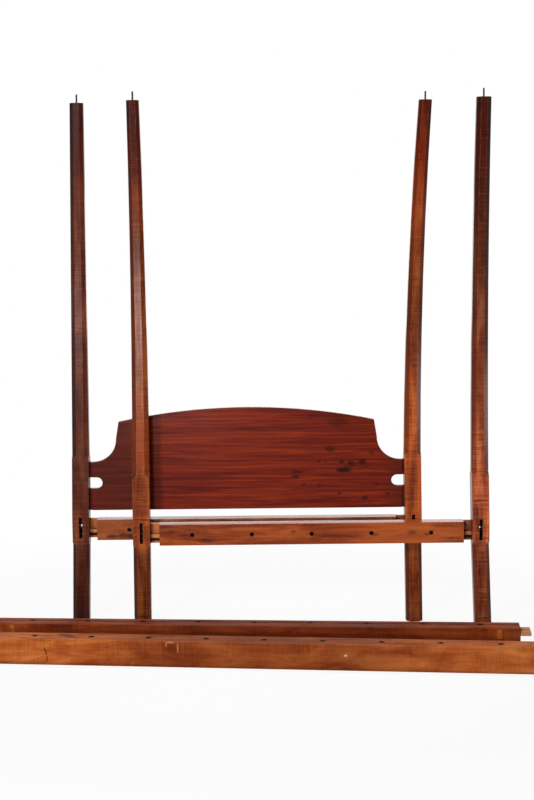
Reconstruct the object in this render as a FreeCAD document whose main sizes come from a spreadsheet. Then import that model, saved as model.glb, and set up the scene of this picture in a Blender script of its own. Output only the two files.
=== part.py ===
"""A pencil post bed, knocked down: both end frames stand, and the side rails lie in front of them."""
import FreeCAD, Part
import Sketcher
import math
import os
import re

# Driving sizes in millimetres, one named cell each.
SIZES = {
    # posts
    "post_height": 2018.6, "post_side": 65, "leg_side": 65, "foot_side": 64.5,
    "head_block_bottom": 329, "head_block_top": 658, "foot_block_bottom": 340, "foot_block_top": 597,
    "block_ease": 1.5, "upper_stop": 18, "lower_stop": 9,
    # how thick each hand-shaved post is at its top
    "head_left_top_side": 50.5, "head_right_top_side": 49, "foot_left_top_side": 46.5,
    "foot_right_top_side": 54,
    # how each post has warped sideways: at its block's top, its own top, mid shaft and foot
    "head_left_tilt": 4.7, "head_left_lean": 20, "head_left_bow": 6, "head_left_splay": -8,
    "head_right_tilt": -3.3, "head_right_lean": 46, "head_right_bow": -1.2, "head_right_splay": 5,
    "foot_left_tilt": 1, "foot_left_lean": -3.5, "foot_left_bow": 4.5, "foot_left_splay": -2,
    "foot_right_tilt": -3.6, "foot_right_lean": 4.5, "foot_right_bow": -5.6, "foot_right_splay": 12.5,
    # iron pins that carry a tester
    "pin_radius": 3.25, "pin_sunk_radius": 3.5, "pin_standing": 33, "pin_sunk": 40,
    "pin_clearance": 0.05, "pin_point": 2,
    # head rail and foot rail
    "end_rail_length": 1165, "end_rail_thick": 56, "end_rail_tall": 81, "end_rail_bottom": 337,
    "end_rail_reveal": 3, "end_hole_margin": 125.3, "end_hole_radius": 6,
    "end_tenon_length": 56, "end_tenon_thick": 11, "end_tenon_inset": 2,
    "tenon_bar_rise": 23, "tenon_bar_tall": 14, "tenon_bar_proud": 8.5, "tenon_bar_gap": 0.5,
    "tenon_groove_rise": 10, "tenon_groove_tall": 12, "tenon_groove_deep": 5,
    # how far each post is drawn off its rail's shoulder
    "head_left_drawn": 31.5, "head_right_drawn": 35.5, "foot_left_drawn": 36.5, "foot_right_drawn": 32.5,
    # side rails, lying on their sides
    "side_rail_length": 1946, "side_rail_tall": 83, "side_rail_thick": 94.6, "side_hole_margin": 142.2,
    "side_tenon_length": 39, "side_tenon_thick": 12, "side_tenon_depth": 16.5, "side_tenon_inset": 1.5,
    "front_hole_line": 41.5, "back_hole_line": 51.5,
    # the side rails' rope holes and the groove that sinks the rope
    "side_hole_radius": 7, "rope_groove_wide": 9, "rope_groove_deep": 4,
    # side-rail mortises and bolt holes in the posts
    "slot_bottom": 345, "slot_clearance": 0.4, "slot_end_play": 1, "slot_floor_gap": 5,
    "post_bolt_radius": 6,
    # bolt bores, trapped nuts and the plugs that close their pockets
    "bolt_bore_radius": 6.5, "bolt_bore_deep": 110, "nut_side": 24, "nut_thick": 12, "nut_set_in": 76,
    "pocket_wide": 17, "pocket_tall": 36, "plug_gap": 4.5, "plug_clearance": 0.1,
    # headboard
    "board_thick": 22, "board_bottom": 452.5, "board_past_shoulder": 50, "board_end_tall": 189.5,
    "board_shoulder_long": 35.5, "board_hollow_radius": 90, "board_side_tall": 67, "board_side_slant": 11,
    "board_crown_rise": 52, "board_clearance": 0.4, "board_top_play": 3, "board_end_gap": 4.5,
    "board_rabbet_length": 28.5, "board_rabbet_deep": 4, "notch_tall": 43, "notch_rise": 107.6,
    "notch_straight": 48, "board_across": 3,
    # fits and cuts
    "tenon_clearance": 0.4, "overrun": 5,
    # places on the floor: across, and away from the foot rail's near face
    "foot_frame_across": 165.8, "head_frame_across": -84.6, "head_frame_away": 114.3,
    "front_rail_across": -23, "front_rail_away": -510.1, "back_rail_across": -60.2, "back_rail_away": -281,
}
# How far each side rail is turned on the floor.
FRONT_RAIL_TURN_DEG = -5.93
BACK_RAIL_TURN_DEG = -4.3
SHAFT_FLAT_SHARE = 0.45
LEG_FLAT_SHARE = 0.545
END_HOLES = 5
SIDE_HOLES = 9
STOP_STEPS = 4
SHAFT_STEPS = 6

doc = FreeCAD.newDocument("pencil_post_bed")
sheet = doc.addObject("Spreadsheet::Sheet", "Sizes")
for row, (alias, number) in enumerate(SIZES.items(), start=1):
    sheet.set(f"A{row}", alias)
    sheet.set(f"B{row}", str(number))
    sheet.setAlias(f"B{row}", alias)
doc.recompute()

WORD = re.compile(r"[a-z][a-z_]+")
AXIS_TURN = {
    "x": FreeCAD.Rotation(FreeCAD.Vector(0, 1, 0), 90),
    "y": FreeCAD.Rotation(FreeCAD.Vector(1, 0, 0), -90),
    "z": FreeCAD.Rotation(),
}
SIDES = (("left", -1), ("right", 1))
# Sums of cells that more than one piece follows.
SLOT_TALL = "(side_rail_tall - 2 * side_tenon_inset + 2 * slot_end_play)"
BOLT_HEIGHT = f"(slot_bottom + {SLOT_TALL} / 2)"
TENON_SET_BACK = "(side_tenon_length + tenon_bar_gap + tenon_bar_proud - end_rail_reveal)"
BOARD_HALF = "(end_rail_length / 2 + board_past_shoulder)"
nodes = []


def size(alias):
    return float(sheet.get(alias))


def bind(thing, prop, text):
    """Tie a property to the sheet: each word in the text is a cell."""
    thing.setExpression(prop, WORD.sub(lambda word: "Sizes." + word.group(0), text))


def place(thing, corner):
    for axis, text in zip("xyz", corner):
        bind(thing, "Placement.Base." + axis, text)


def box(name, lengths, corner):
    """A block with its lowest corner and its lengths along X, Y and Z as sums of cells."""
    block = doc.addObject("Part::Box", name)
    for prop, text in zip(("Length", "Width", "Height"), lengths):
        bind(block, prop, text)
    place(block, corner)
    return block


def rod(name, axis, radius, length, start):
    """A round bar that runs along one axis from its start."""
    bar = doc.addObject("Part::Cylinder", name)
    bind(bar, "Radius", radius)
    bind(bar, "Height", length)
    bar.Placement = FreeCAD.Placement(FreeCAD.Vector(), AXIS_TURN[axis])
    place(bar, start)
    return bar


def fuse(name, pieces):
    joined = doc.addObject("Part::MultiFuse", name)
    joined.Shapes = pieces
    return joined


def cut(name, base, tools):
    remainder = doc.addObject("Part::Cut", name)
    remainder.Base = base
    remainder.Tool = tools[0] if len(tools) == 1 else fuse(name + "_cuts", tools)
    return remainder


def keep(thing, label, spot):
    """Finish a sub-part: its label names its file, and its spot stands it in the layout."""
    thing.Label = label
    nodes.append((thing, spot))


def spot_at(x, y, z, turn=FreeCAD.Rotation()):
    return FreeCAD.Placement(FreeCAD.Vector(x, y, z), turn)


def octagon(half, flat_share, x, z):
    """A square of this half-width with its corners cut off, leaving flats of the given share."""
    flat = half * flat_share
    corners = [(half, -flat), (half, flat), (flat, half), (-flat, half),
               (-half, flat), (-half, -flat), (-flat, -half), (flat, -half)]
    points = [FreeCAD.Vector(x + across, away, z) for across, away in corners]
    return Part.makePolygon(points + points[:1])


def post_blank(name, frame, side):
    """The stick itself: chamfered leg, square block, chamfer stops and tapering eight-sided shaft."""
    who = f"{frame}_{side}"
    half = size("post_side") / 2
    leg_half = size("leg_side") / 2
    block_bottom = size(frame + "_block_bottom")
    block_top = size(frame + "_block_top")
    shaft_bottom = block_top + size("upper_stop")
    square_share = 1 - size("block_ease") / half
    sections = [
        octagon(size("foot_side") / 2, LEG_FLAT_SHARE, size(who + "_splay"), 0),
        octagon(leg_half, LEG_FLAT_SHARE, 0, block_bottom - size("lower_stop")),
        octagon(half, square_share, 0, block_bottom),
        octagon(half, square_share, 0, size("end_rail_bottom") + size("end_rail_tall")),
    ]
    tilt = size(who + "_tilt")
    for step in range(STOP_STEPS):
        along = step / STOP_STEPS
        share = square_share + (SHAFT_FLAT_SHARE - square_share) * math.sin(along * math.pi / 2)
        width = half + (leg_half - half) * along
        sections.append(octagon(width, share, tilt, block_top + size("upper_stop") * along))
    for step in range(SHAFT_STEPS + 1):
        along = step / SHAFT_STEPS
        sideways = tilt * (1 - along) ** 2 + size(who + "_lean") * along ** 2
        sideways += size(who + "_bow") * 4 * along * (1 - along)
        width = leg_half + (size(who + "_top_side") / 2 - leg_half) * along
        height = shaft_bottom + (size("post_height") - shaft_bottom) * along
        sections.append(octagon(width, SHAFT_FLAT_SHARE, sideways, height))
    blank = doc.addObject("Part::Feature", name + "_blank")
    blank.Shape = Part.makeLoft(sections, True, True)
    return blank


def make_post(frame, side, sign):
    """A post about its own axis, near face towards -Y; sign is the side of the rail that it stands on."""
    name = f"{frame}_post_{side}"
    near_face = "-post_side / 2"
    tenon_face = f"{near_face} + end_rail_reveal + {TENON_SET_BACK}"

    def from_rail_side(deep):
        """Where a cut that is this deep starts along X, in the side that faces the rail."""
        return f"post_side / 2 - ({deep})" if sign < 0 else "-post_side / 2 - overrun"

    mortise_deep = "end_tenon_length + tenon_clearance"
    cuts = [
        box(name + "_slot",
            ("side_tenon_thick + 2 * slot_clearance", "side_tenon_length + slot_floor_gap + overrun",
             SLOT_TALL),
            ("-side_tenon_thick / 2 - slot_clearance", near_face + " - overrun", "slot_bottom")),
        rod(name + "_bolt_hole", "y", "post_bolt_radius", "post_side + overrun",
            ("0", near_face, BOLT_HEIGHT)),
        box(name + "_mortise",
            (mortise_deep + " + overrun", "end_tenon_thick + 2 * tenon_clearance",
             "end_rail_tall - 2 * end_tenon_inset + 2 * tenon_clearance"),
            (from_rail_side(mortise_deep), tenon_face + " - tenon_clearance",
             "end_rail_bottom + end_tenon_inset - tenon_clearance")),
        box(name + "_bar_mortise",
            (mortise_deep + " + overrun", "tenon_bar_proud + tenon_clearance",
             "tenon_bar_tall + 2 * tenon_clearance"),
            (from_rail_side(mortise_deep), tenon_face + " - tenon_bar_proud - tenon_clearance",
             "end_rail_bottom + tenon_bar_rise - tenon_clearance")),
        rod(name + "_pin_hole", "z", "pin_sunk_radius + pin_clearance", "pin_sunk + overrun",
            (f"{frame}_{side}_lean", "0", "post_height - pin_sunk")),
    ]
    if frame == "head":
        board_deep = "board_past_shoulder + board_end_gap"
        cuts.append(box(name + "_board_mortise",
                        (board_deep + " + overrun", "board_thick + 2 * board_clearance",
                         "board_end_tall + board_top_play"),
                        (from_rail_side(board_deep), "-board_thick / 2 - board_clearance", "board_bottom")))
    return cut(name + "_cut", post_blank(name, frame, side), cuts)


def make_pin(name, lean):
    """An iron pin: a thicker root sunk in the post, and a standing end that is eased at the top."""
    root = rod(name + "_root", "z", "pin_sunk_radius", "pin_sunk", (lean, "0", "post_height - pin_sunk"))
    shank = rod(name + "_shank", "z", "pin_radius", "pin_standing - pin_point", (lean, "0", "post_height"))
    point = doc.addObject("Part::Cone", name + "_point")
    bind(point, "Radius1", "pin_radius")
    bind(point, "Radius2", "pin_radius - pin_point / 2")
    bind(point, "Height", "pin_point")
    place(point, (lean, "0", "post_height + pin_standing - pin_point"))
    return fuse(name + "_pin", [root, shank, point])


def make_end_rail(name):
    """Head or foot rail: middle at x 0, near face at y 0, underside at z 0."""
    both_tenons = "end_rail_length + 2 * end_tenon_length"
    left_tip = "-end_rail_length / 2 - end_tenon_length"
    stock = fuse(name + "_stock", [
        box(name + "_bar", ("end_rail_length", "end_rail_thick", "end_rail_tall"),
            ("-end_rail_length / 2", "0", "0")),
        box(name + "_tenons", (both_tenons, "end_tenon_thick", "end_rail_tall - 2 * end_tenon_inset"),
            (left_tip, TENON_SET_BACK, "end_tenon_inset")),
        box(name + "_tenon_bars", (both_tenons, "tenon_bar_proud + end_tenon_thick", "tenon_bar_tall"),
            (left_tip, TENON_SET_BACK + " - tenon_bar_proud", "tenon_bar_rise")),
    ])
    cuts = []
    pitch = f"(end_rail_length - 2 * end_hole_margin) / {END_HOLES - 1}"
    for hole in range(END_HOLES):
        cuts.append(rod(f"{name}_rope_hole_{hole}", "y", "end_hole_radius", "end_rail_thick + 2 * overrun",
                        (f"{hole - END_HOLES // 2} * {pitch}", "-overrun", "end_rail_tall / 2")))
    for side, start in (("left", left_tip + " - overrun"), ("right", "end_rail_length / 2")):
        cuts.append(box(f"{name}_groove_{side}",
                        ("end_tenon_length + overrun", "tenon_groove_deep + overrun", "tenon_groove_tall"),
                        (start, TENON_SET_BACK + " - overrun", "tenon_groove_rise")))
    return cut(name + "_cut", stock, cuts)


def make_side_rail(name, hole_line):
    """Side rail on its side: middle at x 0, the edge with the nut pockets at y 0, outer face up."""
    tenon_low = "side_rail_thick - side_tenon_depth - side_tenon_thick"
    tenon_middle = tenon_low + " + side_tenon_thick / 2"
    left_tip = "-side_rail_length / 2 - side_tenon_length"
    stock = fuse(name + "_stock", [
        box(name + "_bar", ("side_rail_length", "side_rail_tall", "side_rail_thick"),
            ("-side_rail_length / 2", "0", "0")),
        box(name + "_tenons",
            ("side_rail_length + 2 * side_tenon_length", "side_rail_tall - 2 * side_tenon_inset",
             "side_tenon_thick"),
            (left_tip, "side_tenon_inset", tenon_low)),
    ])
    cuts = [box(name + "_rope_groove",
                ("side_rail_length + 2 * overrun", "rope_groove_wide", "rope_groove_deep + overrun"),
                ("-side_rail_length / 2 - overrun", hole_line + " - rope_groove_wide / 2",
                 "side_rail_thick - rope_groove_deep"))]
    pitch = f"(side_rail_length - 2 * side_hole_margin) / {SIDE_HOLES - 1}"
    for hole in range(SIDE_HOLES):
        cuts.append(rod(f"{name}_rope_hole_{hole}", "z", "side_hole_radius", "side_rail_thick + 2 * overrun",
                        (f"{hole - SIDE_HOLES // 2} * {pitch}", hole_line, "-overrun")))
    starts = {
        "left": (left_tip + " - overrun", "-side_rail_length / 2 + nut_set_in"),
        "right": ("side_rail_length / 2 - bolt_bore_deep", "side_rail_length / 2 - nut_set_in"),
    }
    for side, (bore_start, nut_middle) in starts.items():
        cuts.append(rod(f"{name}_bore_{side}", "x", "bolt_bore_radius",
                        "bolt_bore_deep + side_tenon_length + overrun",
                        (bore_start, "side_rail_tall / 2", tenon_middle)))
        cuts.append(box(f"{name}_nut_pocket_{side}",
                        ("pocket_wide", "side_rail_tall / 2 + nut_side / 2 + overrun", "pocket_tall"),
                        (nut_middle + " - pocket_wide / 2", "-overrun", tenon_middle + " - pocket_tall / 2")))
    return cut(name + "_cut", stock, cuts)


def make_nut(name):
    """A square nut about the axis of its bolt, which would run along X."""
    block = box(name + "_block", ("nut_thick", "nut_side", "nut_side"),
                ("-nut_thick / 2", "-nut_side / 2", "-nut_side / 2"))
    hole = rod(name + "_hole", "x", "bolt_bore_radius", "nut_thick + 2 * overrun",
               ("-nut_thick / 2 - overrun", "0", "0"))
    return cut(name + "_cut", block, [hole])


def make_plug(name):
    """The slip of wood that closes a nut pocket, flush with the rail's edge; placed like its nut."""
    return box(name + "_slip",
               ("pocket_wide - 2 * plug_clearance", "side_rail_tall / 2 - nut_side / 2 - plug_gap",
                "pocket_tall - 2 * plug_clearance"),
               ("-pocket_wide / 2 + plug_clearance", "-side_rail_tall / 2",
                "-pocket_tall / 2 + plug_clearance"))


def make_headboard():
    """One board padded from half its outline and mirrored, with a shallow rabbet at each end."""
    body = doc.addObject("PartDesign::Body", "headboard_body")
    planes = {plane.Role: plane for plane in body.Origin.OriginFeatures}
    sketch = body.newObject("Sketcher::SketchObject", "headboard_outline")
    sketch.AttachmentSupport = [(planes["XZ_Plane"], "")]
    sketch.MapMode = "FlatFace"
    tip = size("end_rail_length") / 2 + size("board_past_shoulder")
    rise, notch, crown_rise = size("notch_rise"), size("notch_tall") / 2, size("board_crown_rise")
    inner, shoulder = tip - size("notch_straight"), size("board_end_tall")
    hollow = size("board_hollow_radius")
    side = tip - size("board_shoulder_long") - hollow
    corner, corner_tall = side - size("board_side_slant"), shoulder + hollow + size("board_side_tall")
    crown = corner_tall + crown_rise
    crown_radius = (corner ** 2 + crown_rise ** 2) / (2 * crown_rise)
    side_sum = f"{BOARD_HALF} - board_shoulder_long - board_hollow_radius"
    corner_sum = "board_end_tall + board_hollow_radius + board_side_tall"

    def line(start, end):
        return Part.LineSegment(FreeCAD.Vector(*start, 0), FreeCAD.Vector(*end, 0))

    def arc(centre, radius, start, end):
        circle = Part.Circle(FreeCAD.Vector(*centre, 0), FreeCAD.Vector(0, 0, 1), radius)
        return Part.ArcOfCircle(circle, start, end)

    quarter = math.pi / 2
    sketch.addGeometry([
        line((0, 0), (tip, 0)),
        line((tip, 0), (tip, rise - notch)),
        line((tip, rise - notch), (inner, rise - notch)),
        arc((inner, rise), notch, quarter, 3 * quarter),
        line((inner, rise + notch), (tip, rise + notch)),
        line((tip, rise + notch), (tip, shoulder)),
        line((tip, shoulder), (side + hollow, shoulder)),
        arc((side + hollow, shoulder + hollow), hollow, 2 * quarter, 3 * quarter),
        line((side, shoulder + hollow), (corner, corner_tall)),
        arc((0, crown - crown_radius), crown_radius, math.acos(corner / crown_radius), quarter),
        line((0, crown), (0, 0)),
    ], False)
    meetings = [(0, 2, 1, 1), (1, 2, 2, 1), (2, 2, 3, 2), (3, 1, 4, 1), (4, 2, 5, 1), (5, 2, 6, 1),
                (6, 2, 7, 2), (7, 1, 8, 1), (8, 2, 9, 1), (9, 2, 10, 1), (10, 2, 0, 1), (0, 1, -1, 1)]
    for meeting in meetings:
        sketch.addConstraint(Sketcher.Constraint("Coincident", *meeting))
    for level in (0, 2, 4, 6):
        sketch.addConstraint(Sketcher.Constraint("Horizontal", level))
    for upright in (1, 5, 10):
        sketch.addConstraint(Sketcher.Constraint("Vertical", upright))
    for aligned in ((1, 2, 5, 1), (3, 3, 3, 1), (3, 3, 3, 2), (7, 3, 7, 2)):
        sketch.addConstraint(Sketcher.Constraint("Vertical", *aligned))
    sketch.addConstraint(Sketcher.Constraint("Horizontal", 7, 3, 7, 1))
    sketch.addConstraint(Sketcher.Constraint("PointOnObject", 9, 3, -2))
    driven = [
        ("DistanceX", (-1, 1, 0, 2), tip, BOARD_HALF),
        ("DistanceY", (-1, 1, 3, 3), rise, "notch_rise"),
        ("DistanceX", (-1, 1, 3, 3), inner, BOARD_HALF + " - notch_straight"),
        ("Radius", (3,), notch, "notch_tall / 2"),
        ("DistanceY", (-1, 1, 5, 2), shoulder, "board_end_tall"),
        ("Radius", (7,), hollow, "board_hollow_radius"),
        ("DistanceX", (-1, 1, 7, 1), side, side_sum),
        ("DistanceX", (-1, 1, 8, 2), corner, side_sum + " - board_side_slant"),
        ("DistanceY", (-1, 1, 8, 2), corner_tall, corner_sum),
        ("DistanceY", (-1, 1, 10, 1), crown, corner_sum + " + board_crown_rise"),
    ]
    for kind, where, start_value, text in driven:
        index = sketch.addConstraint(Sketcher.Constraint(kind, *where, start_value))
        bind(sketch, f"Constraints[{index}]", text)
    pad = body.newObject("PartDesign::Pad", "headboard_pad")
    pad.Profile = sketch
    bind(pad, "Length", "board_thick")
    pad.SideType = "Symmetric"
    mirrored = body.newObject("PartDesign::Mirrored", "headboard_halves")
    mirrored.Originals = [pad]
    mirrored.MirrorPlane = (planes["YZ_Plane"], [""])
    body.Tip = mirrored
    rabbets = []
    for end, start in (("left", f"-{BOARD_HALF} - overrun"),
                       ("right", f"{BOARD_HALF} - board_rabbet_length")):
        rabbets.append(box("headboard_rabbet_" + end,
                           ("board_rabbet_length + overrun", "board_rabbet_deep + overrun",
                            "board_end_tall + 2 * overrun"),
                           (start, "-board_thick / 2 - overrun", "-overrun")))
    return cut("headboard_cut", body, rabbets)


def build_end_frame(frame, across, away):
    post_away = away - size("end_rail_reveal") + size("post_side") / 2
    keep(make_end_rail(frame + "_rail"), frame + "_rail", spot_at(across, away, size("end_rail_bottom")))
    for side, sign in SIDES:
        off = size("end_rail_length") / 2 + size(f"{frame}_{side}_drawn") + size("post_side") / 2
        spot = spot_at(across + sign * off, post_away, 0)
        keep(make_post(frame, side, sign), f"{frame}_post_{side}", spot)
        keep(make_pin(f"{frame}_{side}", f"{frame}_{side}_lean"), f"{frame}_pin_{side}", spot)


def build_side_rail(place_name, turn_deg, turned_over):
    """One side rail on the floor with its nuts and plugs, outer face up or turned over."""
    name = place_name + "_side_rail"
    turn = FreeCAD.Rotation(FreeCAD.Vector(0, 0, 1), turn_deg)
    spot = spot_at(size(place_name + "_rail_across"), size(place_name + "_rail_away"), 0, turn)
    if turned_over:
        over = FreeCAD.Rotation(FreeCAD.Vector(1, 0, 0), 180)
        spot = spot * spot_at(0, size("side_rail_tall"), size("side_rail_thick"), over)
    keep(make_side_rail(name, place_name + "_hole_line"), name, spot)
    tenon_middle = size("side_rail_thick") - size("side_tenon_depth") - size("side_tenon_thick") / 2
    for side, sign in SIDES:
        nut_across = sign * (size("side_rail_length") / 2 - size("nut_set_in"))
        nut_spot = spot * spot_at(nut_across, size("side_rail_tall") / 2, tenon_middle)
        keep(make_nut(f"{place_name}_nut_{side}"), f"{place_name}_rail_nut_{side}", nut_spot)
        keep(make_plug(f"{place_name}_plug_{side}"), f"{place_name}_rail_plug_{side}", nut_spot)


build_end_frame("foot", size("foot_frame_across"), 0)
build_end_frame("head", size("head_frame_across"), size("head_frame_away"))
board_away = size("head_frame_away") - size("end_rail_reveal") + size("post_side") / 2
board_across = size("head_frame_across") + size("board_across")
keep(make_headboard(), "headboard", spot_at(board_across, board_away, size("board_bottom")))
build_side_rail("back", BACK_RAIL_TURN_DEG, False)
build_side_rail("front", FRONT_RAIL_TURN_DEG, True)
doc.recompute()

for thing in doc.Objects:
    if "Invalid" in thing.State or "Error" in thing.State:
        raise RuntimeError(f"{thing.Label} did not build: {thing.State}")

# Each sub-part takes its spot, and the middle of the whole layout on the floor becomes the origin.
extent = FreeCAD.BoundBox()
for thing, spot in nodes:
    thing.Placement = spot * thing.Placement
    extent.add(thing.Shape.BoundBox)
middle = FreeCAD.Vector(extent.Center.x, extent.Center.y, extent.ZMin)
for thing, spot in nodes:
    thing.Placement.Base = thing.Placement.Base - middle
    if not thing.Shape.isValid() or len(thing.Shape.Solids) != 1:
        raise RuntimeError(f"{thing.Label} is not one valid solid")

os.makedirs("parts", exist_ok=True)
for thing, spot in nodes:
    thing.Shape.exportStep(f"parts/{thing.Label}.step")
print(f"{len(nodes)} sub-parts; origin moved by {middle}; extent {extent}")
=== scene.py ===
"""The pencil post bed of the photograph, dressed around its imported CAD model."""
import math
import bpy
from mathutils import Euler, Matrix, Vector


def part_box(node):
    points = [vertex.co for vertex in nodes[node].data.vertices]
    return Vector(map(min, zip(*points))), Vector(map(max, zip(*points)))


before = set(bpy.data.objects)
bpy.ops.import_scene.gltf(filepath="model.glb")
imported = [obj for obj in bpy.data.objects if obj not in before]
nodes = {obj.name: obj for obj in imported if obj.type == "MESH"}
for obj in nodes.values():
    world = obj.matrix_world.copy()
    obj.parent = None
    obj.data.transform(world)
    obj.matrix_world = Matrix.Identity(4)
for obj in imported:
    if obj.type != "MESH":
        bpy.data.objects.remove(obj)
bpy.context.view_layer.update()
scene = bpy.context.scene
scene.view_settings.view_transform = "Standard"

# The photograph's viewpoint, in metres and degrees in the part's frame.
CAMERA_PLACE = (0.0386, -5.5761, 1.5822)
CAMERA_PITCH_DEG = 83.234
CAMERA_ROLL_DEG = -0.584
CAMERA_LENS_MM = 69.35
CAMERA_SENSOR_MM = 36.0
CAMERA_FAR = 100.0

# How wide the edges of each kind of piece are eased, in metres, and which edges count as sharp.
POST_EASE, END_RAIL_EASE, SIDE_RAIL_EASE = 0.001, 0.0005, 0.0015
BOARD_EASE, PLUG_EASE, IRON_EASE = 0.0012, 0.0006, 0.0004
EASE_STEPS = 2
SHARP_DEG = 28
WELD_REACH = 0.00001

# How far each side rail is turned on the floor, so that its grain follows it.
FRONT_RAIL_TURN_DEG = -5.93
BACK_RAIL_TURN_DEG = -4.3
# How far an end rail's tenon reaches past its shoulder, how far a side rail's shoulders lie from its middle,
# the heights of the painted shadow under an end tenon's bar and of the bar, and over what length each of
# these marks fades in.
END_TENON_LONG = 0.056
SIDE_RAIL_HALF = 0.973
BAR_SHADOW_LOW, BAR_LOW, BAR_HIGH = 0.347, 0.3595, 0.3742
SHOULDER_FADE, BAR_FADE = 0.002, 0.001
# The height and the brightness at which a post's ramp of painted light and shade ends.
PAINTED_LIGHT_TOP, PAINTED_LIGHT_MOST = 2.1, 2.5
# The posts' tops are redder: from which height to which, and by what.
RED_FROM, RED_FULL = 1.45, 1.95
RED_TINT = (1.05, 0.45, 0.25, 1.0)
# How far a post's facet has to face sideways to take painted shade, from first to full.
SIDE_SHADE_FROM, SIDE_SHADE_FULL = 0.3, 0.6
# Painted shade blackens a rim round and inside each rope hole: the holes' spacing along an end rail and a
# side rail, the height of the end rails' holes, how far a side rail's line of holes lies from its middle, and
# for each kind of rim how far it is darkest, how far it reaches and how dark it is.
END_HOLE_PITCH, END_HOLE_UP = 0.2286, 0.3775
SIDE_HOLE_PITCH = 0.2077
FRONT_HOLE_LINE, BACK_HOLE_LINE = 0.0, 0.010
END_HOLE_SHADE = (0.0078, 0.0095, 0.95)
SIDE_HOLE_SHADE = (0.0095, 0.0150, 0.92)


def srgb(red, green, blue):
    """A colour given on the 0 to 255 scale, as the shader's linear values."""
    def linear(level):
        level /= 255
        return level / 12.92 if level <= 0.04045 else ((level + 0.055) / 1.055) ** 2.4
    return (linear(red), linear(green), linear(blue), 1.0)


def three_tones(dark, middle, light):
    return (srgb(*dark), srgb(*middle), srgb(*light))


WHITE = (1.0, 1.0, 1.0, 1.0)
# Near-black for painted shade: in corners, round and inside the rope holes, and under the end tenons' bars.
PAINTED_SHADE_BLACK = srgb(12, 5, 3)
IRON_TONE, RUST_TONE = srgb(26, 24, 23), srgb(64, 40, 30)
BOARD_TONES = three_tones((75, 17, 8), (102, 28, 13), (130, 44, 19))
BOARD_END_SHADE_TONE, BOARD_STAIN_TONE = srgb(50, 24, 18), srgb(44, 13, 9)
PLUG_TONES = three_tones((142, 62, 22), (170, 82, 30), (192, 102, 42))
END_RAIL_TONES = {
    "foot_rail": three_tones((88, 29, 8), (130, 53, 19), (166, 84, 37)),
    "head_rail": three_tones((88, 38, 18), (126, 62, 35), (162, 94, 58)),
}
RAIL_WORN_TONE, RAIL_STAIN_TONE = srgb(196, 100, 48), srgb(52, 20, 10)
# An end rail's tenons: the bare wood, painted light on the left tenons and the bar painted pale as if lit,
# each with how far it covers.
DULL_TENON, DULL_SHARE = srgb(160, 90, 60), 0.7
LEFT_TENON_LIGHT, LEFT_TENON_LIGHT_SHARE = srgb(196, 114, 60), 0.75
BAR_PAINTED_LIGHT, BAR_SHARE = srgb(208, 128, 74), 0.9
SIDE_TENON, SIDE_TENON_SHARE = srgb(206, 150, 104), 0.75

# Stains, worn places and painted shade: across and up in metres, half as wide, half as tall, how strong.
# The headboard's ends carry painted shade, browner and darker than its middle.
BOARD_END_SHADES = [(-0.560, 0.600, 0.170, 0.450, 0.55), (0.600, 0.550, 0.130, 0.450, 0.40)]
BOARD_STAINS = [
    (0.281, 0.685, 0.027, 0.015, 0.70), (0.313, 0.789, 0.055, 0.020, 0.52),
    (0.327, 0.634, 0.017, 0.012, 0.80), (0.364, 0.627, 0.025, 0.015, 0.80),
    (0.408, 0.633, 0.025, 0.015, 0.86), (0.335, 0.602, 0.042, 0.015, 0.98),
    (0.154, 0.595, 0.032, 0.009, 0.80), (0.148, 0.576, 0.023, 0.012, 0.75),
    (0.238, 0.637, 0.011, 0.007, 0.75), (0.266, 0.633, 0.011, 0.005, 0.57),
    (0.179, 0.546, 0.011, 0.007, 0.70), (0.239, 0.540, 0.015, 0.009, 0.57),
    (0.318, 0.510, 0.012, 0.008, 0.75), (0.416, 0.491, 0.019, 0.011, 0.80),
    (0.503, 0.508, 0.012, 0.009, 0.70), (0.462, 0.546, 0.015, 0.011, 0.46),
    (0.442, 0.667, 0.015, 0.012, 0.46), (0.209, 0.811, 0.030, 0.011, 0.34),
]
END_RAIL_STAINS = {
    "foot_rail": [
        (-0.334, 0.388, 0.026, 0.014, 0.45), (-0.280, 0.376, 0.045, 0.007, 0.55),
        (-0.234, 0.395, 0.070, 0.008, 0.45), (-0.200, 0.355, 0.045, 0.012, 0.55),
        (0.133, 0.387, 0.014, 0.010, 0.55), (0.588, 0.379, 0.028, 0.012, 0.50),
        (0.316, 0.368, 0.110, 0.007, 0.50), (0.741, 0.356, 0.055, 0.004, 0.65),
        (0.714, 0.404, 0.080, 0.010, 0.40), (0.449, 0.372, 0.020, 0.007, 0.55),
        (0.645, 0.372, 0.016, 0.006, 0.60),
    ],
    "head_rail": [
        (-0.569, 0.352, 0.034, 0.012, 0.75), (-0.530, 0.356, 0.024, 0.014, 0.75),
        (-0.497, 0.352, 0.030, 0.014, 0.85), (-0.500, 0.398, 0.050, 0.010, 0.35),
    ],
}
END_RAIL_WORN = {
    "foot_rail": [(0.60, 0.377, 0.30, 0.12, 0.35)],
    "head_rail": [(-0.56, 0.377, 0.12, 0.12, 0.25)],
}
# How often a stain's edge wavers in a metre, and how far.
RAGGED_OFTEN, RAGGED_FAR = 60.0, 0.014
# The share of a mark's reach over which it keeps its full strength.
BLOT_CORE = 0.35
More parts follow.
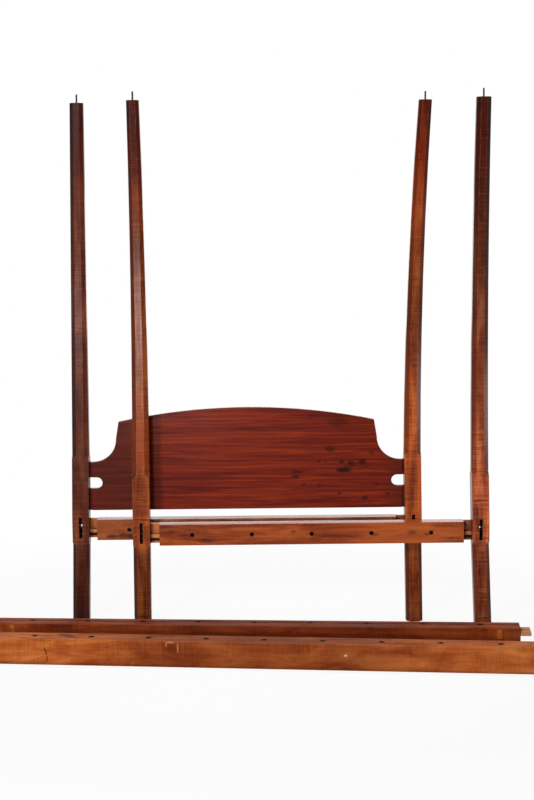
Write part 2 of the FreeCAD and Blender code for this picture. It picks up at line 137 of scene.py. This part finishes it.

# Marks on the side rails, in each rail's own axes: place along, across and up, then half sizes (0 where the
# mark runs right through), how strong, and which tone: a dark crack, a pale knock or chip, or a darker patch.
RAIL_MARK_TONES = {
    "crack": srgb(44, 18, 9), "knock": srgb(216, 140, 84),
    "chip": srgb(212, 180, 150), "dark_patch": srgb(74, 22, 4),
}
BACK_RAIL_MARKS = [((0.1, 0.0, 0.0), (0.8, 0.0, 0.0), 0.55, "dark_patch")]
FRONT_RAIL_MARKS = [
    ((0.0, 0.0, 0.0), (0.8, 0.0, 0.0), 0.58, "dark_patch"),
    ((-0.784, 0.0, 0.056), (0.006, 0.0, 0.009), 0.60, "crack"),
    ((-0.780, 0.0, 0.043), (0.004, 0.0, 0.012), 0.85, "crack"),
    ((-0.777, 0.0, 0.022), (0.003, 0.0, 0.016), 0.85, "crack"),
    ((-0.727, 0.022, 0.0), (0.036, 0.006, 0.0), 1.0, "crack"),
    ((-0.722, 0.008, 0.0), (0.050, 0.006, 0.0), 1.0, "crack"),
    ((-0.700, -0.006, 0.0), (0.042, 0.006, 0.0), 1.0, "crack"),
    ((-0.684, -0.018, 0.0), (0.032, 0.005, 0.0), 1.0, "crack"),
    ((-0.782, 0.006, 0.0), (0.030, 0.006, 0.0), 0.9, "crack"),
    ((-0.859, -0.029, 0.0), (0.030, 0.005, 0.0), 0.80, "crack"),
    ((-0.400, 0.012, 0.0), (0.044, 0.006, 0.0), 0.80, "crack"),
    ((0.291, 0.0, 0.054), (0.008, 0.0, 0.005), 0.80, "chip"),
    ((-0.324, 0.0, 0.068), (0.040, 0.0, 0.026), 0.55, "dark_patch"),
    ((-0.330, 0.0, 0.090), (0.020, 0.0, 0.004), 0.55, "knock"),
    ((-0.345, 0.0, 0.082), (0.004, 0.0, 0.012), 0.40, "knock"),
    ((-0.304, 0.0, 0.072), (0.004, 0.0, 0.026), 0.40, "knock"),
]

# Which way the grain runs: the turn that lays a piece's length along the shader's X axis.
GRAIN_UP = (0.0, math.radians(90), 0.0)
GRAIN_ACROSS = (0.0, 0.0, 0.0)
# How often each layer of the wood's figure changes in a metre, along the grain and across it.
STREAKS_OFTEN, LINES_OFTEN = (5.0, 130.0), (11.0, 460.0)
CURL_OFTEN, CURL_SETS_OFTEN = (270.0, 9.0), (9.0, 12.0)
# Where in its noise each layer starts and is full, and how far it covers at most.
DARK_STOP, MIDDLE_STOP, LIGHT_STOP = 0.34, 0.50, 0.68
STREAK_DARK, STREAK_LIGHT, STREAK_SHARE = (0.42, 0.72), (0.46, 0.28), 0.6
LINE_DARK, LINE_SHARE = (0.56, 0.80), 0.5
CURL_LIGHT, CURL_DARK, CURL_LIGHT_SHARE = (0.50, 0.68), (0.48, 0.30), 0.55
CURL_SETS, CURL_LEAST = (0.36, 0.60), 0.3
# Dirt and painted shade in corners: how near the next surface is, how shut in the corner is, and how far the
# dirt and shade cover.
SHADE_AND_DIRT_REACH, SHADE_AND_DIRT_SHUT, SHADE_AND_DIRT_SHARE, SHADE_AND_DIRT_SAMPLES = 0.03, (0.72, 0.24), 0.97, 4
# Wear on edges: how wide, how sharp the edge is, and how patchy the wear.
EDGE_WIDE, EDGE_SHARP, EDGE_SAMPLES = 0.004, (0.99, 0.95), 6
SCUFFS_OFTEN, SCUFFS, WEAR_LEAST = 46.0, (0.35, 0.65), 0.15
# Roughness rises by this much along the streaks.
SHINE, ROUGH_RISE = (0.3, 0.8), 0.14
# The relief of lines and curl, and how strong and deep it is.
LINE_RELIEF, CURL_RELIEF = 0.5, 0.6
WOOD_RELIEF, WOOD_RELIEF_DEEP = 0.22, 0.001
# Forged iron: how often its rust changes in a metre, where it shows, its sheen and its relief.
RUST_OFTEN, RUST_SHOWS = 160.0, (0.5, 0.75)
IRON_METALLIC, IRON_ROUGH, RUST_ROUGH, RUST_DRY = 0.7, 0.45, 0.75, (0.3, 0.8)
IRON_RELIEF, IRON_RELIEF_DEEP = 0.25, 0.0006


class Shader:
    """A material's node tree, with short calls to add and join nodes."""

    def __init__(self, name):
        self.material = bpy.data.materials.new(name)
        self.material.use_nodes = True
        self.tree = self.material.node_tree
        self.surface = self.tree.nodes["Principled BSDF"]

    def node(self, kind, inputs=None, **settings):
        made = self.tree.nodes.new(kind)
        for key, value in settings.items():
            setattr(made, key, value)
        for key, value in (inputs or {}).items():
            self.put(made.inputs[key], value)
        return made

    def put(self, socket, value):
        if isinstance(value, bpy.types.NodeSocket):
            self.tree.links.new(value, socket)
        else:
            socket.default_value = value

    def math(self, operation, first, second=0.0):
        return self.node("ShaderNodeMath", {0: first, 1: second}, operation=operation).outputs[0]

    def span(self, value, low, high, to_low=0.0, to_high=1.0):
        """Smoothly maps one range of values onto another."""
        ends = {"Value": value, "From Min": low, "From Max": high, "To Min": to_low, "To Max": to_high}
        return self.node("ShaderNodeMapRange", ends, interpolation_type="SMOOTHSTEP").outputs["Result"]

    def mix(self, share, first, second, blend="MIX"):
        made = self.node("ShaderNodeMix", data_type="RGBA", blend_type=blend)
        self.put(made.inputs["Factor"], share)
        self.put(made.inputs["A"], first)
        self.put(made.inputs["B"], second)
        return made.outputs["Result"]

    def noise(self, where, scale, detail=3.0, rough=0.55, distortion=0.0):
        made = self.node("ShaderNodeTexNoise", {"Vector": where, "Scale": scale, "Detail": detail,
                                                "Roughness": rough, "Distortion": distortion})
        return made.outputs["Fac"]

    def ramp(self, share, stops):
        made = self.node("ShaderNodeValToRGB", {"Fac": share})
        points = made.color_ramp.elements
        for index, (place, colour) in enumerate(stops):
            point = points[index] if index < 2 else points.new(place)
            point.position = place
            point.color = colour
        return made.outputs["Color"]

    def blot(self, where, centre, reach):
        """A soft-edged mark: 1 at its centre, 0 from one reach away, in the axes whose reach is given."""
        scale = [1.0 / far if far else 0.0 for far in reach]
        shift = [-at * by for at, by in zip(centre, scale)]
        near = self.node("ShaderNodeMapping", {"Vector": where, "Scale": scale, "Location": shift})
        length = self.node("ShaderNodeVectorMath", {0: near.outputs["Vector"]}, operation="LENGTH")
        return self.span(length.outputs["Value"], 1.0, BLOT_CORE)


def wood(name, grain, shift, tones, figure, curl, fibre, gloss, rough, worn, marks=None, hole_shade=None):
    """Varnished wood: mottled colour, curl across the grain, fibres along it, dirt and painted shade in
    corners, worn edges.

    figure gives how often the mottling changes in a metre, along the grain and across it. marks paints a
    piece's own marks, and on some pieces painted light and shade, over the colour, and the last argument says
    where painted shade blackens the wood round its rope holes.
    """
    dark, middle, light = tones
    s = Shader(name)
    place = s.node("ShaderNodeTexCoord").outputs["Object"]
    laid = s.node("ShaderNodeMapping", {"Vector": place, "Rotation": grain, "Location": shift})

    def stretched(along, across):
        scale = (along, across, across)
        scaled = s.node("ShaderNodeMapping", {"Vector": laid.outputs["Vector"], "Scale": scale})
        return scaled.outputs["Vector"]

    patches = s.noise(stretched(*figure), 1.0, detail=4.0, rough=0.6, distortion=0.5)
    colour = s.ramp(patches, [(DARK_STOP, dark), (LIGHT_STOP, light), (MIDDLE_STOP, middle)])
    streaks = s.noise(stretched(*STREAKS_OFTEN), 1.0, detail=5.0, rough=0.65, distortion=0.3)
    colour = s.mix(s.span(streaks, *STREAK_DARK, 0.0, STREAK_SHARE * fibre), colour, dark)
    colour = s.mix(s.span(streaks, *STREAK_LIGHT, 0.0, STREAK_SHARE * fibre), colour, light)
    lines = s.noise(stretched(*LINES_OFTEN), 1.0, detail=3.0, rough=0.7)
    colour = s.mix(s.span(lines, *LINE_DARK, 0.0, LINE_SHARE * fibre), colour, dark)
    bands = s.noise(stretched(*CURL_OFTEN), 1.0, detail=2.0, rough=0.55, distortion=0.35)
    sets = s.noise(stretched(*CURL_SETS_OFTEN), 1.0, detail=2.0)
    here = s.span(sets, *CURL_SETS, CURL_LEAST, 1.0)
    pale = s.math("MULTIPLY", s.span(bands, *CURL_LIGHT, 0.0, CURL_LIGHT_SHARE * curl), here)
    colour = s.mix(pale, colour, light)
    deep = s.math("MULTIPLY", s.span(bands, *CURL_DARK, 0.0, curl), here)
    colour = s.mix(deep, colour, dark)
    if marks:
        colour = marks(s, place, colour)
    # Painted shade, with some dirt, blackens corners, slots and recesses where another surface is near.
    corners = s.node("ShaderNodeAmbientOcclusion", {"Distance": SHADE_AND_DIRT_REACH}, samples=SHADE_AND_DIRT_SAMPLES,
                     only_local=False)
    shade_and_dirt = s.span(corners.outputs["AO"], *SHADE_AND_DIRT_SHUT, 0.0, SHADE_AND_DIRT_SHARE)
    colour = s.mix(shade_and_dirt, colour, PAINTED_SHADE_BLACK)
    rounded = s.node("ShaderNodeBevel", {"Radius": EDGE_WIDE}, samples=EDGE_SAMPLES).outputs["Normal"]
    facing = s.node("ShaderNodeNewGeometry").outputs["True Normal"]
    likeness = s.node("ShaderNodeVectorMath", {0: rounded, 1: facing}, operation="DOT_PRODUCT")
    ridge = s.span(likeness.outputs["Value"], *EDGE_SHARP)
    scuffs = s.noise(place, SCUFFS_OFTEN, detail=3.0, rough=0.6)
    wear = s.math("MULTIPLY", ridge, s.span(scuffs, *SCUFFS, WEAR_LEAST, worn))
    colour = s.mix(wear, colour, light)
    # Painted shade blackens the wood round and inside each rope hole.
    if hole_shade:
        colour = s.mix(hole_shade(s, place), colour, PAINTED_SHADE_BLACK)
    s.put(s.surface.inputs["Base Color"], colour)
    shine = s.span(streaks, *SHINE, rough, rough + ROUGH_RISE)
    s.put(s.surface.inputs["Roughness"], s.math("MAXIMUM", shine, shade_and_dirt))
    s.surface.inputs["Specular IOR Level"].default_value = gloss
    line_height = s.math("MULTIPLY", lines, LINE_RELIEF)
    height = s.math("ADD", line_height, s.math("MULTIPLY", bands, CURL_RELIEF * curl))
    bump = s.node("ShaderNodeBump", {"Height": height, "Strength": WOOD_RELIEF, "Distance": WOOD_RELIEF_DEEP})
    s.put(s.surface.inputs["Normal"], bump.outputs["Normal"])
    return s.material


def iron(name):
    """Dark forged iron with a little rust."""
    s = Shader(name)
    place = s.node("ShaderNodeTexCoord").outputs["Object"]
    rust = s.noise(place, RUST_OFTEN, detail=4.0, rough=0.65)
    s.put(s.surface.inputs["Base Color"], s.mix(s.span(rust, *RUST_SHOWS), IRON_TONE, RUST_TONE))
    s.surface.inputs["Metallic"].default_value = IRON_METALLIC
    s.put(s.surface.inputs["Roughness"], s.span(rust, *RUST_DRY, IRON_ROUGH, RUST_ROUGH))
    bump = s.node("ShaderNodeBump", {"Height": rust, "Strength": IRON_RELIEF, "Distance": IRON_RELIEF_DEEP})
    s.put(s.surface.inputs["Normal"], bump.outputs["Normal"])
    return s.material


def soften(node, width):
    """Rounds a node's sharp edges over by this width, in metres."""
    weld = node.modifiers.new("join", "WELD")
    weld.merge_threshold = WELD_REACH
    round_over = node.modifiers.new("ease", "BEVEL")
    round_over.width = width
    round_over.segments = EASE_STEPS
    round_over.limit_method = "ANGLE"
    round_over.angle_limit = math.radians(SHARP_DEG)


def dress(name, material, width):
    node = nodes[name]
    for slot in node.material_slots:
        slot.link = "OBJECT"
        slot.material = material
    soften(node, width)


class PostLook:
    """How one post is finished.

    outer is the way its outer side faces, then how much painted shade darkens that side and its inner side;
    then heights on the post, each with how bright the painted light and shade make the finish there.
    """

    def __init__(self, shift, curl, tones, outer, side_shade, painted_light_levels):
        self.shift = shift
        self.curl = curl
        self.tones = three_tones(*tones)
        self.outer = outer
        self.side_shade = side_shade
        self.painted_light_levels = painted_light_levels

    def marks(self, s, place, colour):
        dark = self.tones[0]
        up = s.node("ShaderNodeSeparateXYZ", {"Vector": place}).outputs["Z"]
        facing = s.node("ShaderNodeNewGeometry").outputs["True Normal"]
        across = s.node("ShaderNodeSeparateXYZ", {"Vector": facing}).outputs["X"]
        outward = s.math("MULTIPLY", across, self.outer)
        outer_shade, inner_shade = self.side_shade
        # Painted shade on the facets that face sideways, outward and inward.
        colour = s.mix(s.span(outward, -SIDE_SHADE_FROM, -SIDE_SHADE_FULL, 0.0, inner_shade), colour, dark)
        colour = s.mix(s.span(outward, SIDE_SHADE_FROM, SIDE_SHADE_FULL, 0.0, outer_shade), colour, dark)
        # Painted light and shade by height: each post is painted brighter or darker along its length, as
        # light fell on it.
        stops = [(height / PAINTED_LIGHT_TOP, (level / PAINTED_LIGHT_MOST,) * 3 + (1.0,)) for height, level in self.painted_light_levels]
        level = s.ramp(s.math("DIVIDE", up, PAINTED_LIGHT_TOP), stops)
        painted_light_by_height = s.mix(1.0, level, (PAINTED_LIGHT_MOST, PAINTED_LIGHT_MOST, PAINTED_LIGHT_MOST, 1.0), "MULTIPLY")
        colour = s.mix(1.0, colour, painted_light_by_height, "MULTIPLY")
        return s.mix(s.span(up, RED_FROM, RED_FULL), colour, RED_TINT, "MULTIPLY")


POST_LOOKS = {
    "foot_post_left": PostLook(
        shift=0.37, curl=0.7, tones=((74, 24, 8), (126, 54, 20), (170, 92, 44)),
        outer=-1.0, side_shade=(0.75, 0.0),
        painted_light_levels=((0.30, 0.55), (0.345, 1.15), (0.44, 1.15), (0.48, 0.95), (0.60, 0.95), (0.66, 1.4),
                (0.80, 1.4), (0.95, 0.85), (1.63, 1.0), (1.98, 0.45))),
    "foot_post_right": PostLook(
        shift=0.7, curl=0.8, tones=((66, 22, 10), (122, 56, 31), (166, 94, 58)),
        outer=1.0, side_shade=(0.60, 0.7),
        painted_light_levels=((0.30, 1.30), (0.36, 2.2), (0.60, 2.2), (0.78, 1.9), (1.0, 1.25), (1.25, 0.85),
                (1.98, 0.45))),
    "head_post_left": PostLook(
        shift=1.4, curl=0.6, tones=((38, 12, 6), (82, 31, 17), (118, 62, 38)),
        outer=-1.0, side_shade=(0.75, 0.0),
        painted_light_levels=((0.30, 0.75), (0.345, 1.4), (0.43, 1.4), (0.47, 1.0), (0.65, 1.0), (0.93, 1.0),
                (1.24, 1.8), (1.63, 1.15), (1.98, 0.5))),
    "head_post_right": PostLook(
        shift=2.1, curl=0.5, tones=((88, 34, 13), (148, 67, 30), (188, 105, 55)),
        outer=1.0, side_shade=(0.65, 0.7),
        painted_light_levels=((0.30, 0.70), (0.36, 1.25), (0.48, 1.35), (0.65, 1.45), (0.93, 1.2), (1.24, 0.6),
                (1.63, 1.3), (1.98, 0.42))),
}


def dress_posts():
    for name, look in POST_LOOKS.items():
        made = wood(name + "_wood", GRAIN_UP, shift=(look.shift, 0.3, 1.1), tones=look.tones,
                    figure=(3.0, 16.0), curl=look.curl, fibre=0.5, gloss=0.08, rough=0.18, worn=0.8,
                    marks=look.marks)
        dress(name, made, POST_EASE)


def stains_and_shade(s, place, colour, stains, tone):
    """Stains, worn places or painted shade of one tone, each with a ragged edge."""
    ragged = s.node("ShaderNodeTexNoise", {"Vector": place, "Scale": RAGGED_OFTEN, "Detail": 3.0})
    centred = s.node("ShaderNodeVectorMath", {0: ragged.outputs["Color"], 1: (0.5, 0.5, 0.5)},
                     operation="SUBTRACT")
    shaken = s.node("ShaderNodeVectorMath", {0: centred.outputs["Vector"], "Scale": RAGGED_FAR},
                    operation="SCALE")
    where = s.node("ShaderNodeVectorMath", {0: place, 1: shaken.outputs["Vector"]}, operation="ADD")
    for across, up, wide, tall, strength in stains:
        blot = s.blot(where.outputs["Vector"], (across, 0.0, up), (wide, 0.0, tall))
        colour = s.mix(s.math("MULTIPLY", blot, strength), colour, tone)
    return colour


def near_holes(s, along, pitch, aside, rim):
    """How black the painted shade of the rims is: holes lie at every pitch along, where aside is 0."""
    inner, outer, most = rim
    nearest = s.math("PINGPONG", along, pitch / 2)
    spot = s.node("ShaderNodeCombineXYZ", {"X": nearest, "Y": aside}).outputs["Vector"]
    away = s.node("ShaderNodeVectorMath", {0: spot}, operation="LENGTH").outputs["Value"]
    return s.span(away, outer, inner, 0.0, most)


def end_rail_hole_shade(name):
    low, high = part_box(name)
    middle = (low[0] + high[0]) / 2

    def hole_shade(s, place):
        split = s.node("ShaderNodeSeparateXYZ", {"Vector": place})
        along = s.math("SUBTRACT", split.outputs["X"], middle)
        aside = s.math("SUBTRACT", split.outputs["Z"], END_HOLE_UP)
        return near_holes(s, along, END_HOLE_PITCH, aside, END_HOLE_SHADE)
    return hole_shade


def end_rail_marks(name):
    """Stains, and past both shoulders bare wood, with painted light on the left tenons, a bar painted pale as
    if lit and a painted black shadow under it.
    """
    low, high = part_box(name)
    middle = (low[0] + high[0]) / 2
    shoulder = (high[0] - low[0]) / 2 - END_TENON_LONG

    def marks(s, place, colour):
        split = s.node("ShaderNodeSeparateXYZ", {"Vector": place})
        up = split.outputs["Z"]
        along = s.math("SUBTRACT", split.outputs["X"], middle)
        bare = s.span(s.math("ABSOLUTE", along), shoulder, shoulder + SHOULDER_FADE)
        left_tenon_light = s.span(along, -shoulder, -shoulder - SHOULDER_FADE)

        def between(bottom, top):
            above = s.span(up, bottom - BAR_FADE, bottom + BAR_FADE)
            inside = s.math("MULTIPLY", above, s.span(up, top + BAR_FADE, top))
            return s.math("MULTIPLY", s.math("MULTIPLY", inside, bare), BAR_SHARE)

        colour = stains_and_shade(s, place, colour, END_RAIL_WORN[name], RAIL_WORN_TONE)
        colour = stains_and_shade(s, place, colour, END_RAIL_STAINS[name], RAIL_STAIN_TONE)
        colour = s.mix(s.math("MULTIPLY", bare, DULL_SHARE), colour, DULL_TENON)
        # Painted light: the left tenons are painted lighter, as if lit.
        colour = s.mix(s.math("MULTIPLY", left_tenon_light, LEFT_TENON_LIGHT_SHARE), colour, LEFT_TENON_LIGHT)
        # Painted light: the bar is painted pale, as if lit from above.
        colour = s.mix(between(BAR_LOW, BAR_HIGH), colour, BAR_PAINTED_LIGHT)
        # Painted shadow: black under the bar.
        return s.mix(between(BAR_SHADOW_LOW, BAR_LOW), colour, PAINTED_SHADE_BLACK)
    return marks


class SideRailLook:
    """How one side rail is finished: its turn on the floor, tones, marks and line of rope holes."""

    def __init__(self, name, turn_deg, tones, knocks, hole_line):
        low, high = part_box(name)
        self.name = name
        self.centre = ((low[0] + high[0]) / 2, (low[1] + high[1]) / 2, 0.0)
        self.turn = (0.0, 0.0, math.radians(turn_deg))
        self.grain = (0.0, 0.0, -math.radians(turn_deg))
        self.tones = three_tones(*tones)
        self.knocks = knocks
        self.hole_line = hole_line

    def own_axes(self, s, place):
        """The rail's own axes: from its middle, along it and across it."""
        return s.node("ShaderNodeMapping", {"Vector": place, "Location": self.centre, "Rotation": self.turn},
                      vector_type="TEXTURE").outputs["Vector"]

    def hole_shade(self, s, place):
        split = s.node("ShaderNodeSeparateXYZ", {"Vector": self.own_axes(s, place)})
        aside = s.math("SUBTRACT", split.outputs["Y"], self.hole_line)
        return near_holes(s, split.outputs["X"], SIDE_HOLE_PITCH, aside, SIDE_HOLE_SHADE)

    def marks(self, s, place, colour):
        """Pale tenons, and the rail's own marks."""
        own = self.own_axes(s, place)
        along = s.node("ShaderNodeSeparateXYZ", {"Vector": own}).outputs["X"]
        away = s.math("ABSOLUTE", along)
        bare = s.span(away, SIDE_RAIL_HALF, SIDE_RAIL_HALF + SHOULDER_FADE, 0.0, SIDE_TENON_SHARE)
        colour = s.mix(bare, colour, SIDE_TENON)
        for spot, reach, strength, kind in self.knocks:
            blot = s.math("MULTIPLY", s.blot(own, spot, reach), strength)
            colour = s.mix(blot, colour, RAIL_MARK_TONES[kind])
        return colour


def dress_end_rails():
    for index, (name, tones) in enumerate(END_RAIL_TONES.items()):
        made = wood(name + "_wood", GRAIN_ACROSS, shift=(0.4, 0.9 * index, 0.2), tones=tones,
                    figure=(4.0, 26.0), curl=0.25, fibre=0.7, gloss=0.10, rough=0.18, worn=0.4,
                    marks=end_rail_marks(name), hole_shade=end_rail_hole_shade(name))
        dress(name, made, END_RAIL_EASE)


def dress_side_rails():
    looks = (
        SideRailLook("front_side_rail", FRONT_RAIL_TURN_DEG, ((129, 56, 22), (171, 87, 38), (202, 118, 59)),
                     FRONT_RAIL_MARKS, FRONT_HOLE_LINE),
        SideRailLook("back_side_rail", BACK_RAIL_TURN_DEG, ((84, 29, 9), (124, 51, 18), (154, 77, 35)),
                     BACK_RAIL_MARKS, BACK_HOLE_LINE),
    )
    for look in looks:
        made = wood(look.name + "_wood", look.grain, shift=(1.4, 0.5, 0.2), tones=look.tones,
                    figure=(5.0, 18.0), curl=0.45, fibre=0.5, gloss=0.04, rough=0.50, worn=0.5,
                    marks=look.marks, hole_shade=look.hole_shade)
        dress(look.name, made, SIDE_RAIL_EASE)


def board_marks(s, place, colour):
    # Painted shade at the headboard's ends.
    colour = stains_and_shade(s, place, colour, BOARD_END_SHADES, BOARD_END_SHADE_TONE)
    return stains_and_shade(s, place, colour, BOARD_STAINS, BOARD_STAIN_TONE)


def dress_headboard():
    made = wood("headboard_wood", GRAIN_ACROSS, shift=(2.0, 0.0, 0.4), tones=BOARD_TONES,
                figure=(3.0, 90.0), curl=0.05, fibre=0.7, gloss=0.06, rough=0.16, worn=0.2,
                marks=board_marks)
    dress("headboard", made, BOARD_EASE)


def dress_small_parts():
    plug_wood = wood("plug_wood", GRAIN_ACROSS, shift=(3.0, 1.0, 0.0), tones=PLUG_TONES,
                     figure=(6.0, 40.0), curl=0.1, fibre=0.6, gloss=0.1, rough=0.5, worn=0.2)
    forged = iron("forged_iron")
    for name in nodes:
        if "_plug_" in name:
            dress(name, plug_wood, PLUG_EASE)
        elif "_pin_" in name or "_nut_" in name:
            dress(name, forged, IRON_EASE)


dress_posts()
dress_end_rails()
dress_side_rails()
dress_headboard()
dress_small_parts()


# The floor is plain white away from the bed, and takes its shadow nearby.
FLOOR_SIDE = 40.0
FLOOR_DOWN = 0.0005
FLOOR_TONE = (0.85, 0.84, 0.83, 1.0)
SHADOW_NEAR = 1.1
SHADOW_FAR = 2.4
SHADOW_SHARE = 0.1
# How strongly the world itself lights the bed.
WORLD_LIGHT = 0.08


def seen_directly(tree):
    """1 for rays that show the background itself, 0 for rays that light the bed."""
    path = tree.nodes.new("ShaderNodeLightPath")
    shown = path.outputs["Is Camera Ray"]
    for kind in ("Is Glossy Ray", "Is Transmission Ray"):
        either = tree.nodes.new("ShaderNodeMath")
        either.operation = "MAXIMUM"
        tree.links.new(shown, either.inputs[0])
        tree.links.new(path.outputs[kind], either.inputs[1])
        shown = either.outputs[0]
    return shown


def white_floor():
    bpy.ops.mesh.primitive_plane_add(size=FLOOR_SIDE, location=(0.0, 0.0, -FLOOR_DOWN))
    floor = bpy.context.object
    floor.name = "floor"
    s = Shader("floor_white")
    s.surface.inputs["Base Color"].default_value = FLOOR_TONE
    s.surface.inputs["Roughness"].default_value = 1.0
    s.surface.inputs["Specular IOR Level"].default_value = 0.0
    place = s.node("ShaderNodeTexCoord").outputs["Object"]
    away = s.node("ShaderNodeVectorMath", {0: place}, operation="LENGTH").outputs["Value"]
    white = s.node("ShaderNodeEmission", {"Color": WHITE, "Strength": 1.0})
    plainness = s.math("MULTIPLY", s.span(away, SHADOW_NEAR, SHADOW_FAR, 1.0 - SHADOW_SHARE, 1.0),
                       seen_directly(s.tree))
    blend = s.node("ShaderNodeMixShader", {"Fac": plainness})
    s.tree.links.new(s.surface.outputs["BSDF"], blend.inputs[1])
    s.tree.links.new(white.outputs["Emission"], blend.inputs[2])
    s.put(s.tree.nodes["Material Output"].inputs["Surface"], blend.outputs["Shader"])
    floor.data.materials.append(s.material)


def white_world():
    world = bpy.data.worlds.new("studio")
    scene.world = world
    world.use_nodes = True
    tree = world.node_tree
    plain = tree.nodes["Background"]
    plain.inputs["Color"].default_value = WHITE
    plain.inputs["Strength"].default_value = WORLD_LIGHT
    seen = tree.nodes.new("ShaderNodeBackground")
    seen.inputs["Color"].default_value = WHITE
    seen.inputs["Strength"].default_value = 1.0
    choose = tree.nodes.new("ShaderNodeMixShader")
    tree.links.new(seen_directly(tree), choose.inputs["Fac"])
    tree.links.new(plain.outputs["Background"], choose.inputs[1])
    tree.links.new(seen.outputs["Background"], choose.inputs[2])
    tree.links.new(choose.outputs["Shader"], tree.nodes["World Output"].inputs["Surface"])


def soft_lamp(name, place, target, wide, tall, power, spread_deg):
    lamp = bpy.data.lights.new(name, "AREA")
    lamp.shape = "RECTANGLE"
    lamp.size, lamp.size_y = wide, tall
    lamp.energy = power
    lamp.spread = math.radians(spread_deg)
    holder = bpy.data.objects.new(name, lamp)
    scene.collection.objects.link(holder)
    holder.visible_camera = False
    holder.location = place
    holder.rotation_euler = (Vector(target) - Vector(place)).to_track_quat("-Z", "Y").to_euler()


def studio_lamps():
    soft_lamp("key", place=(-2.0, -4.9, 2.9), target=(0.0, 0.2, 0.75),
              wide=0.7, tall=0.8, power=16.0, spread_deg=48)
    soft_lamp("glance", place=(-0.75, -4.9, 0.95), target=(0.0, 0.2, 0.65),
              wide=0.45, tall=0.3, power=8.0, spread_deg=48)
    soft_lamp("side", place=(2.8, 0.80, 0.62), target=(0.4, 0.35, 0.8),
              wide=0.8, tall=0.4, power=7.5, spread_deg=180)
    soft_lamp("overhead", place=(0.0, 0.7, 3.6), target=(0.0, 0.0, 0.1),
              wide=2.6, tall=0.8, power=70.0, spread_deg=180)
    soft_lamp("backdrop", place=(0.0, 4.6, 1.3), target=(0.0, 0.3, 0.42),
              wide=3.4, tall=0.9, power=13.0, spread_deg=180)


def photo_camera():
    lens = bpy.data.cameras.new("photo_camera")
    lens.sensor_fit = "VERTICAL"
    lens.sensor_height = CAMERA_SENSOR_MM
    lens.lens = CAMERA_LENS_MM
    lens.clip_end = CAMERA_FAR
    camera = bpy.data.objects.new("photo_camera", lens)
    scene.collection.objects.link(camera)
    pitch = Euler((math.radians(CAMERA_PITCH_DEG), 0.0, 0.0)).to_matrix().to_4x4()
    roll = Matrix.Rotation(math.radians(CAMERA_ROLL_DEG), 4, "Z")
    camera.matrix_world = Matrix.Translation(CAMERA_PLACE) @ pitch @ roll
    scene.camera = camera


white_floor()
white_world()
studio_lamps()
photo_camera()

bpy.context.view_layer.update()
